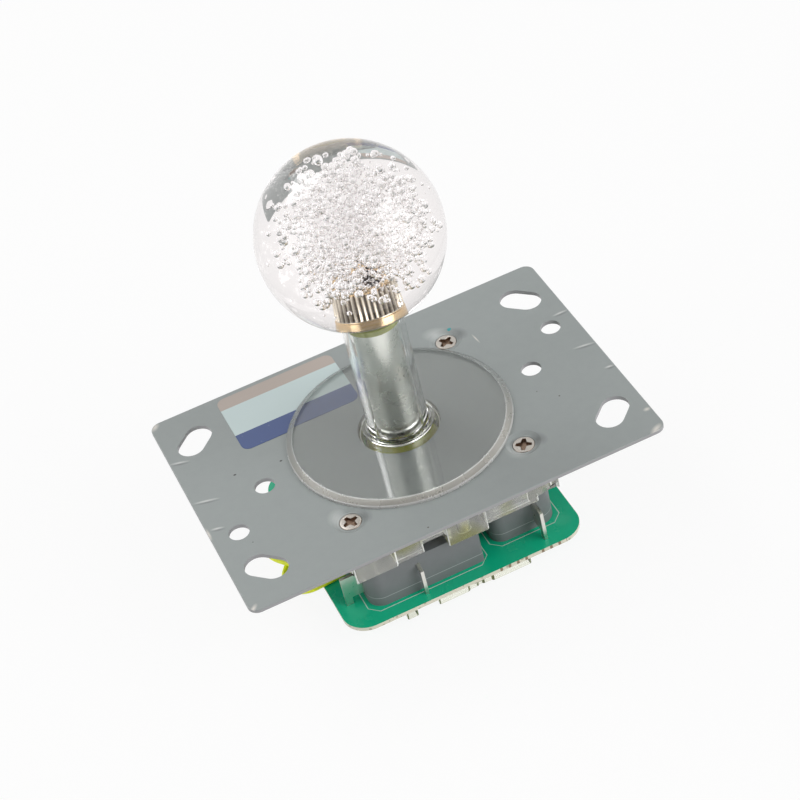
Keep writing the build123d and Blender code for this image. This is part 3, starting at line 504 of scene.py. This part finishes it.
# Painted highlight: a pale line along each rim of the bevel
painted_rim_highlights = summed(tree, [maths(tree, "COMPARE", away, (washer_outer - inset) * mm, rim_half * mm)
                     for inset in (rim_inset, washer_bevel - 0.1)])
look = tinted(tree, streaks.outputs["Fac"], (0.74, 0.72, 0.67, 1), (0.46, 0.44, 0.39, 1))
look = tinted(tree, painted_rim_highlights, look, (0.97, 0.97, 0.95, 1))
tree.links.new(tinted(tree, painted_back_shade, look, (0.40, 0.43, 0.42, 1)), surface.inputs["Base Color"])
washer.data.materials.append(satin_bevel)
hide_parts("dust_washer")

# Shaft cover. A clear plastic tube round the shaft, with a flange just above the dust washer. It
# reaches up over the olive ring, to just under the ball, and its upper end is satin.

cover_low, cover_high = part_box("shaft_cover")
cover_foot, cover_top = cover_low.z / mm, 34.2
cover_bore, cover_outer, flange_outer = 5.7, 7.0, cover_high.x / mm
flange_foot = cover_foot + 1.4

cover_mesh = spun([(cover_bore, cover_foot), (cover_outer - 0.2, cover_foot),
                   (cover_outer, cover_foot + 0.2), (cover_outer, flange_foot),
                   (flange_outer - 0.1, flange_foot), (flange_outer, flange_foot + 0.1),
                   (flange_outer, flange_foot + 0.4), (flange_outer - 0.15, flange_foot + 0.5),
                   (flange_outer - 0.75, flange_foot + 0.5), (flange_outer - 0.85, flange_foot + 0.6),
                   (flange_outer - 0.9, flange_foot + 1.0), (flange_outer - 1.0, flange_foot + 1.1),
                   (cover_outer + 0.15, flange_foot + 1.15), (cover_outer, flange_foot + 1.4),
                   (cover_outer, cover_top - 0.15), (cover_outer - 0.15, cover_top),
                   (cover_bore + 0.1, cover_top), (cover_bore, cover_top - 0.1),
                   (cover_bore, cover_foot)], 120)
for face in cover_mesh.faces:
    face.material_index = int(face.calc_center_median().z / mm > cover_top - 0.12)
cover_clear = clear_plastic("cover clear plastic", (0.975, 0.98, 0.965, 1), (0.005, 0.012))
cover = new_piece("cover_tube", cover_mesh, cover_clear, "cover", 25)
cover.data.materials.append(clear_plastic("satin tube end", (0.36, 0.39, 0.16, 1), (0.35, 0.45), 1.30, 0.3))
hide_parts("shaft_cover")

# Plate screws and board screws. Nickel-plated steel. The countersunk plate screws sit in the
# plate's pressed dimples, and their cross recesses are coloured brown through their depth.

screw_low, screw_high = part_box("plate_screws")
screw_foot, screw_top = screw_low.z / mm, screw_high.z / mm
head_radius, shank_radius, screw_square = 2.5, 1.45, 42.4
dome_share, dome_fall, rim_fall = 0.96, 0.10, 0.2
recess_depth, recess_reach, recess_slope = 0.75, 1.85, 0.18
wing_half, wing_taper = 0.86, 0.26
thread_pitch, thread_depth, thread_end = 0.8, 0.3, 1.6
screw_steps, head_rings = 96, 30

screw_metal, tree, surface = finish("nickel screws", (0.62, 0.59, 0.55, 1), 0.3, {"Metallic": 1.0})
nickel = mottled(tree, surface, (0.54, 0.51, 0.47, 1), (0.42, 0.39, 0.35, 1), 1200.0, (0.24, 0.42), 0.3)
# A band through the depth of the cross recesses is coloured brown
recess_brown_band = maths(tree, "COMPARE", axes_of(tree, object_place(tree))["Z"],
             (screw_top - 0.14 - recess_depth / 2) * mm, recess_depth / 2 * mm)
tree.links.new(tinted(tree, recess_brown_band, nickel.outputs["Colour"], (0.22, 0.155, 0.115, 1)),
               surface.inputs["Base Color"])
dress(screw_metal, "board_screws")


def recess_share(x, y):
    wing, reach = sorted((abs(x), abs(y)))
    inside = min(wing_half - wing_taper * reach - wing, recess_reach - reach)
    return min(max(inside / recess_slope, 0.0), 1.0)


head_line = [(head_radius * dome_share * i / head_rings, screw_top - dome_fall * (i / head_rings) ** 4)
             for i in range(head_rings + 1)]
head_line += [(head_radius, screw_top - rim_fall),
              (shank_radius, screw_top - rim_fall - head_radius + shank_radius)]
thread_z = screw_top - thread_end
while thread_z > screw_foot + thread_end:
    head_line += [(shank_radius, thread_z), (shank_radius - thread_depth, thread_z - thread_pitch / 2)]
    thread_z -= thread_pitch
head_line.append((0.0, screw_foot))
screws_mesh = bmesh.new()
for x, y, turn in ((-1, -1, 20.0), (1, -1, 62.0), (1, 1, 35.0), (-1, 1, 10.0)):
    one = spun(head_line, screw_steps)
    for vert in one.verts:
        if vert.co.z / mm > screw_top - 0.15:
            vert.co.z -= recess_depth * mm * recess_share(vert.co.x / mm, vert.co.y / mm)
    corner = Matrix.Translation((x * screw_square / 2 * mm, y * screw_square / 2 * mm, 0))
    bmesh.ops.transform(one, matrix=corner @ Matrix.Rotation(radians(turn), 4, "Z"), verts=one.verts)
    one_data = bpy.data.meshes.new("one screw")
    one.to_mesh(one_data)
    one.free()
    screws_mesh.from_mesh(one_data)
screws = new_piece("crosshead_screws", screws_mesh, screw_metal, "base", 30)
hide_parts("plate_screws")

# Pivot, spring seat and actuator. Moulded in one yellow-green plastic, satin from the mould. The
# pivot turns in the housing's socket, the seat slides on the shaft, and the actuator is its foot.

pivot_green = (0.42, 0.43, 0.045, 1)
pivot_moulding, tree, surface = finish("pivot plastic", pivot_green, 0.3,
                                       {"Subsurface Weight": 0.15, "Subsurface Scale": 1.0 * mm})
mottled(tree, surface, pivot_green, (0.36, 0.37, 0.035, 1), 300.0, (0.25, 0.38), 0.2)
dress(pivot_moulding, "pivot", "spring_seat", "actuator")

# Shaft. Turned steel tube with a satin zinc plate and fine rings from the lathe. It carries the ball
# at its top and the lamp's wires in its bore.

turned, turned_in, turned_out = effect(
    "turning marks", [("Rings Per Metre", number, 4000.0)], [("Mark", number)])
rings_up = maths(turned, "MULTIPLY", axes_of(turned, object_place(turned))["Z"],
                 turned_in["Rings Per Metre"])
groove = add_node(turned, "ShaderNodeTexNoise", {"W": rings_up, "Scale": 1.0, "Detail": 2.0},
                  noise_dimensions="1D")
turned.links.new(groove.outputs["Fac"], turned_out["Mark"])


def turned_metal(name, colour, second, roughness, rings, grooved=0.0):
    material, tree, surface = finish(name, colour, roughness[0], {"Metallic": 1.0, "Anisotropic": grooved})
    mottled(tree, surface, colour, second, 220.0, roughness)
    marks = add_node(tree, "ShaderNodeGroup", {"Rings Per Metre": rings}, node_tree=turned)
    raised(tree, surface, marks.outputs["Mark"], 0.12, 0.02)
    if grooved:
        around = add_node(tree, "ShaderNodeTangent", direction_type="RADIAL", axis="Z")
        tree.links.new(around.outputs[0], surface.inputs["Tangent"])
    return material


dress(turned_metal("plated shaft", (0.98, 0.97, 0.90, 1), (0.86, 0.89, 0.87, 1), (0.24, 0.32), 3000.0,
                   0.85), "shaft")

# Ball washer. A plain ring moulded in olive plastic, between the shaft's shoulder and the ball. The
# clear cover goes round it.

ring_low, ring_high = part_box("ball_washer")
ring_foot, ring_top, ring_radius, ring_bore = ring_low.z / mm, ring_high.z / mm, 5.6, 4.05
olive, tree, surface = finish("olive plastic", (0.30, 0.33, 0.10, 1), 0.35)
mottled(tree, surface, (0.43, 0.46, 0.15, 1), (0.38, 0.41, 0.12, 1), 400.0, (0.3, 0.4))
ring_mesh = spun([(ring_bore, ring_foot), (ring_radius - 0.1, ring_foot), (ring_radius, ring_foot + 0.1),
                  (ring_radius, ring_top), (ring_bore, ring_top), (ring_bore, ring_foot)], 120)
ring = new_piece("olive_ring", ring_mesh, olive, "lever", 30)
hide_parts("ball_washer")

# Ball insert. Turned from brass: a smooth collar, a groove, and above it a long knurled body that
# holds in the ball. Its bore shows dark from above.

insert_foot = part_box("ball_insert")[0].z / mm
insert_radius = 4.25
insert_top = insert_foot + 13.3
insert_bore, spigot_bore, spigot_top = 2.65, 4.05, insert_foot + 6.5
collar_top = insert_foot + 8.8        # the smooth collar ends where the photograph shows the teeth start
groove_radius, tooth_radius = 4.1, insert_radius - 0.02
knurl_teeth, knurl_depth = 32, 0.35
insert_mesh = spun([(spigot_bore, insert_foot), (insert_radius - 0.1, insert_foot),
                    (insert_radius, insert_foot + 0.1), (insert_radius, collar_top),
                    (groove_radius, collar_top + 0.1), (groove_radius, collar_top + 0.3),
                    (tooth_radius, collar_top + 0.4), (tooth_radius, insert_top - 0.3),
                    (tooth_radius - 0.3, insert_top), (insert_bore, insert_top), (insert_bore, spigot_top),
                    (spigot_bore, spigot_top), (spigot_bore, insert_foot)], 4 * knurl_teeth)
for vert in insert_mesh.verts:
    out = vert.co.xy.length / mm
    if out > insert_radius - 0.36 and vert.co.z / mm > collar_top + 0.35:
        share = (atan2(vert.co.y, vert.co.x) / (2 * pi) * knurl_teeth) % 1.0
        narrower = 1.0 - knurl_depth * (1.0 - abs(2.0 * share - 1.0)) / out
        vert.co.x *= narrower
        vert.co.y *= narrower
brass = turned_metal("knurled brass", (0.66, 0.50, 0.30, 1), (0.52, 0.38, 0.20, 1), (0.16, 0.28), 5000.0)
tree, surface = reopened(brass)
place = axes_of(tree, object_place(tree))
away = from_axis(tree, place)
# The knurl's ridges are painted pale, a painted highlight, and its valleys dark brown, partly dirt and partly
# painted shade
ridge_highlight_valley_dirt_shade = ranged(tree, away, (insert_radius - knurl_depth) * mm, (insert_radius - 0.05) * mm)
toothed = maths(tree, "COMPARE", place["Z"], (collar_top + insert_top) / 2 * mm,
                (insert_top - collar_top) / 2 * mm - 0.2 * mm)
in_bore = maths(tree, "LESS_THAN", away, (insert_bore + 0.1) * mm)
cut_teeth = tinted(tree, ridge_highlight_valley_dirt_shade, (0.12, 0.075, 0.04, 1), (0.86, 0.80, 0.68, 1))
outside = tinted(tree, toothed, (0.74, 0.56, 0.34, 1), cut_teeth)
tree.links.new(tinted(tree, in_bore, outside, (0.78, 0.55, 0.44, 1)), surface.inputs["Base Color"])
insert = new_piece("brass_insert", insert_mesh, brass, "lever", 20)
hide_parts("ball_insert")

# Spring and retaining clip, of bright spring steel. The spring stands in the actuator's cup and
# presses the seat up. In the joystick it shortens as the seat slides down the shaft; its mesh here keeps one
# length.

spring_metal = turned_metal("spring steel", (0.50, 0.50, 0.50, 1), (0.42, 0.42, 0.42, 1), (0.25, 0.35),
                            5000.0)
dress(spring_metal, "retaining_clip")
spring_mesh = bmesh.new()
spring_mesh.from_mesh(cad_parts["return_spring"].data)
bmesh.ops.remove_doubles(spring_mesh, verts=spring_mesh.verts, dist=1e-7)
spring_data = bpy.data.meshes.new("coil_spring")
spring_mesh.to_mesh(spring_data)
spring_mesh.free()
spring_data.materials.append(spring_metal)
spring_data.shade_smooth()
spring_data.set_sharp_from_angle(angle=radians(50))
spring = bpy.data.objects.new("coil_spring", spring_data)
bpy.context.scene.collection.objects.link(spring)
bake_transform(spring)
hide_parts("return_spring")

# Lamp in the shaft's end. A clear moulded lens that lights the ball from inside the brass insert,
# with two wires in black insulation down the shaft's bore.

dress(clear_plastic("lamp lens", (0.93, 0.94, 0.95, 1), (0.05, 0.1)), "lamp")
wire_black, tree, surface = finish("wire insulation", (0.03, 0.03, 0.032, 1), 0.45)
mottled(tree, surface, (0.03, 0.03, 0.032, 1), (0.05, 0.05, 0.052, 1), 500.0, (0.4, 0.5))
dress(wire_black, "lamp_leads")

# Microswitches. Grey moulded cases closed by lids of the same plastic, with a fine pale line where
# they meet, tinned terminals bent down into the board, and red plungers.

case_grey = (0.165, 0.175, 0.182, 1)
split_z, line_half = -22.6, 0.07
switch_grey, tree, surface = finish("switch grey", case_grey, 0.5)
grain = mottled(tree, surface, case_grey, (0.145, 0.155, 0.16, 1), 500.0, (0.42, 0.52), 0.35)
seam = maths(tree, "COMPARE", axes_of(tree, object_place(tree))["Z"], split_z * mm, line_half * mm)
tree.links.new(tinted(tree, seam, grain.outputs["Colour"], (0.40, 0.42, 0.42, 1)),
               surface.inputs["Base Color"])
tinned, tree, surface = finish("tinned metal", (0.75, 0.74, 0.70, 1), 0.25, {"Metallic": 1.0})
mottled(tree, surface, (0.80, 0.79, 0.74, 1), (0.70, 0.69, 0.64, 1), 500.0, (0.26, 0.36), 0.05)
plunger_red, tree, surface = finish("plunger plastic", (0.45, 0.04, 0.03, 1), 0.4)
mottled(tree, surface, (0.45, 0.04, 0.03, 1), (0.38, 0.03, 0.025, 1), 700.0, (0.35, 0.45))
for side in ("front", "right", "back", "left"):
    dress(switch_grey, f"switch_case_{side}", f"switch_lid_{side}")
    dress(tinned, f"switch_terminals_{side}")
    dress(plunger_red, f"switch_plunger_{side}")

# Circuit board. Glass fibre with a glossy green mask on both faces and raw pale edges, broken out
# of its sheet, so that a row of brown drill marks is left along two edges.

mask_green = (0.003, 0.52, 0.28, 1)
drill_step, drill_middle, drill_half = 2.1, 1.0, 0.32
torn_edges = ((11.0, 4.5), (20.5, 3.5))
board_mask, tree, surface = finish("board mask", mask_green, 0.25, {"Coat Weight": 0.25})
grain = mottled(tree, surface, mask_green, (0.003, 0.44, 0.235, 1), 120.0, (0.20, 0.30))
facing = axes_of(tree, add_node(tree, "ShaderNodeNewGeometry").outputs["Normal"])["Z"]
flat = maths(tree, "GREATER_THAN", maths(tree, "ABSOLUTE", facing), 0.5)
fibre = tinted(tree, specked(tree, 900.0, 0.35, 0.5), (0.66, 0.64, 0.52, 1), (0.40, 0.40, 0.28, 1))
spot = object_place(tree)
place = axes_of(tree, spot)
step = maths(tree, "FLOORED_MODULO", maths(tree, "ADD", place["X"], place["Y"]), drill_step * mm)
drilled = maths(tree, "COMPARE", step, drill_middle * mm, drill_half * mm)
torn = summed(tree, [maths(tree, "COMPARE", place["X"], middle * mm, half * mm)
                     for middle, half in torn_edges])
fibre = tinted(tree, maths(tree, "MULTIPLY", drilled, torn), fibre, (0.22, 0.15, 0.08, 1))

# The white print round each switch, a rectangle with cut corners
print_line, print_in, print_out = effect("printed outline", [("Place", "NodeSocketVector", (0, 0, 0))],
                                         [("Mask", number)])
middle_x, middle_y, half_x, half_y, cut, line = -8.5, -17.25, 14.9, 8.9, 2.2, 0.10
parts = axes_of(print_line, print_in["Place"])
sides = []
for axis, middle, half in (("X", middle_x, half_x), ("Y", middle_y, half_y)):
    off = maths(print_line, "ABSOLUTE", maths(print_line, "SUBTRACT", parts[axis], middle * mm))
    sides.append(maths(print_line, "SUBTRACT", off, half * mm))
corner = maths(print_line, "ADD", maths(print_line, "ADD", *sides), cut * mm)
edge = maths(print_line, "MAXIMUM", maths(print_line, "MAXIMUM", *sides), corner)
print_line.links.new(maths(print_line, "COMPARE", edge, 0.0, line * mm), print_out["Mask"])
outlines = []
for turn in (0, 90, 180, 270):
    turned_place = add_node(tree, "ShaderNodeVectorRotate", {"Vector": spot, "Angle": radians(turn)},
                            rotation_type="Z_AXIS")
    outlines.append(add_node(tree, "ShaderNodeGroup", {"Place": turned_place.outputs[0]},
                             node_tree=print_line).outputs["Mask"])
printed = maths(tree, "MULTIPLY", summed(tree, outlines), maths(tree, "GREATER_THAN", facing, 0.5),
                clamp=True)
green = tinted(tree, printed, grain.outputs["Colour"], (0.62, 0.72, 0.66, 1))
tree.links.new(tinted(tree, flat, fibre, green), surface.inputs["Base Color"])
dress(board_mask, "circuit_board")

# Board header. An off-white strip of moulded plastic on the board, with square tinned pins, by
# which the switches' wiring leaves.

header_white, tree, surface = finish("header plastic", (0.68, 0.67, 0.60, 1), 0.45)
mottled(tree, surface, (0.68, 0.67, 0.60, 1), (0.62, 0.61, 0.54, 1), 500.0, (0.4, 0.5))
dress(header_white, "board_header")
dress(tinned, "header_pins")

# Ball top. Clear cast acrylic with air bubbles caught in it: a milky cloud of fine ones round its
# middle, larger ones about the cloud, and some by themselves. It is cast onto the brass insert.

ball_low, ball_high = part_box("ball_top")
ball_radius = (ball_high.x - ball_low.x) / 2 / mm
ball_middle = Vector((0, 0, ball_high.z / mm - ball_radius))
ball_steps, arc_steps = 144, 96
picture_right = camera.rotation_quaternion @ Vector((1, 0, 0))
picture_up = camera.rotation_quaternion @ Vector((0, 1, 0))
cloud_middle = ball_middle + 1.1 * picture_right + 0.6 * picture_up
core_radius, rim_radius = 10.0, 12.1
core_count, rim_count, cap_count = 3000, 640, 170
bare_spot = -0.8 * picture_right - 0.3 * picture_up     # the photograph's one gap over the dark bore
bare_radius = 1.3
clearance, wall = 0.1, 0.5  # the least acrylic between a bubble and the insert, and at the surface
lens = 1.49                 # the ball enlarges what is inside it by this much
strays = ((-18.2, 0.5, 0.45), (-15.2, -0.7, 0.55), (-17.3, 6.8, 0.42), (-9.6, 16.8, 0.6), (-8.0, 17.2, 0.35),
          (-5.4, 17.8, 0.5), (5.2, 18.2, 0.35), (-10.6, 12.6, 0.62), (-15.4, 6.6, 0.5), (12.0, 12.6, 0.18),
          (17.0, 9.8, 0.15), (18.3, 5.6, 0.35), (-19.0, -6.6, 0.35), (-11.0, -9.8, 0.35), (15.8, -9.8, 0.35),
          (-3.4, -19.2, 0.3), (-6.0, -18.6, 0.25))


def unit_ball(detail):
    mesh = bmesh.new()
    bmesh.ops.create_icosphere(mesh, subdivisions=detail, radius=1.0)
    points = [vert.co.copy() for vert in mesh.verts]
    faces = [[vert.index for vert in reversed(face.verts)] for face in mesh.faces]
    mesh.free()
    return points, faces


chance = random.Random(7)
bubble_points, bubble_faces = [], []
small_ball, large_ball = unit_ball(1), unit_ball(2)


def add_bubble(centre, radius, shape):
    in_insert = (centre.xy.length < insert_radius + radius + clearance
                 and centre.z < insert_top + radius + clearance)
    if in_insert or (centre - ball_middle).length > ball_radius - radius - wall:
        return
    turn = Quaternion([chance.gauss(0, 1) for _ in range(4)]).normalized()
    stretch = Vector((1.0, 1.0, chance.uniform(0.85, 1.2)))
    points, faces = shape
    first = len(bubble_points)
    bubble_points.extend((centre + turn @ (radius * stretch * point)) * mm for point in points)
    bubble_faces.extend([first + corner for corner in face] for face in faces)


def some_way():
    return Vector([chance.gauss(0, 1) for _ in range(3)]).normalized()


for _ in range(core_count):
    add_bubble(cloud_middle + some_way() * core_radius * chance.uniform(0, 1) ** 0.40,
               chance.uniform(0.10, 0.22), small_ball)
fine_faces = len(bubble_faces)
for _ in range(rim_count):
    add_bubble(cloud_middle + some_way() * chance.uniform(core_radius - 1.5, rim_radius),
               chance.choice((0.26, 0.34, 0.44, 0.54, 0.66)), large_ball)
for _ in range(cap_count):              # some lie on the insert's top, so little of its dark bore shows
    place = Vector((chance.uniform(-1, 1), chance.uniform(-1, 1), 0)) * insert_radius
    if (place - bare_spot).xy.length < bare_radius:
        continue
    place.z = insert_top + chance.uniform(0.7, 3.6)
    add_bubble(place, chance.uniform(0.28, 0.5), large_ball)
for across, rise, radius in strays:
    add_bubble(ball_middle + (across * picture_right + rise * picture_up) / lens, radius, large_ball)
bubble_data = bpy.data.meshes.new("bubbles")
bubble_data.from_pydata(bubble_points, [], bubble_faces)
bubble_data.polygons.foreach_set("material_index",
                                 [2] * fine_faces + [1] * (len(bubble_faces) - fine_faces))
ball_profile = [(ball_radius * sin(pi * i / arc_steps), ball_middle.z + ball_radius * cos(pi * i / arc_steps))
                for i in range(arc_steps + 1)]
ball_mesh = spun(ball_profile, ball_steps)
ball_mesh.from_mesh(bubble_data)
ball_acrylic = clear_plastic("cast acrylic", (0.955, 0.92, 0.915, 1), (0.0, 0.006))
ball = new_piece("clear_ball", ball_mesh, ball_acrylic, "lever", 60)
ball.data.materials.append(clear_plastic("bubble wall", (1, 1, 1, 1), (0.0, 0.02)))
ball.data.materials.append(clear_plastic("fine bubble wall", (1, 0.965, 0.96, 1), (0.10, 0.16), 1.40, 0.93))
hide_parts("ball_top")
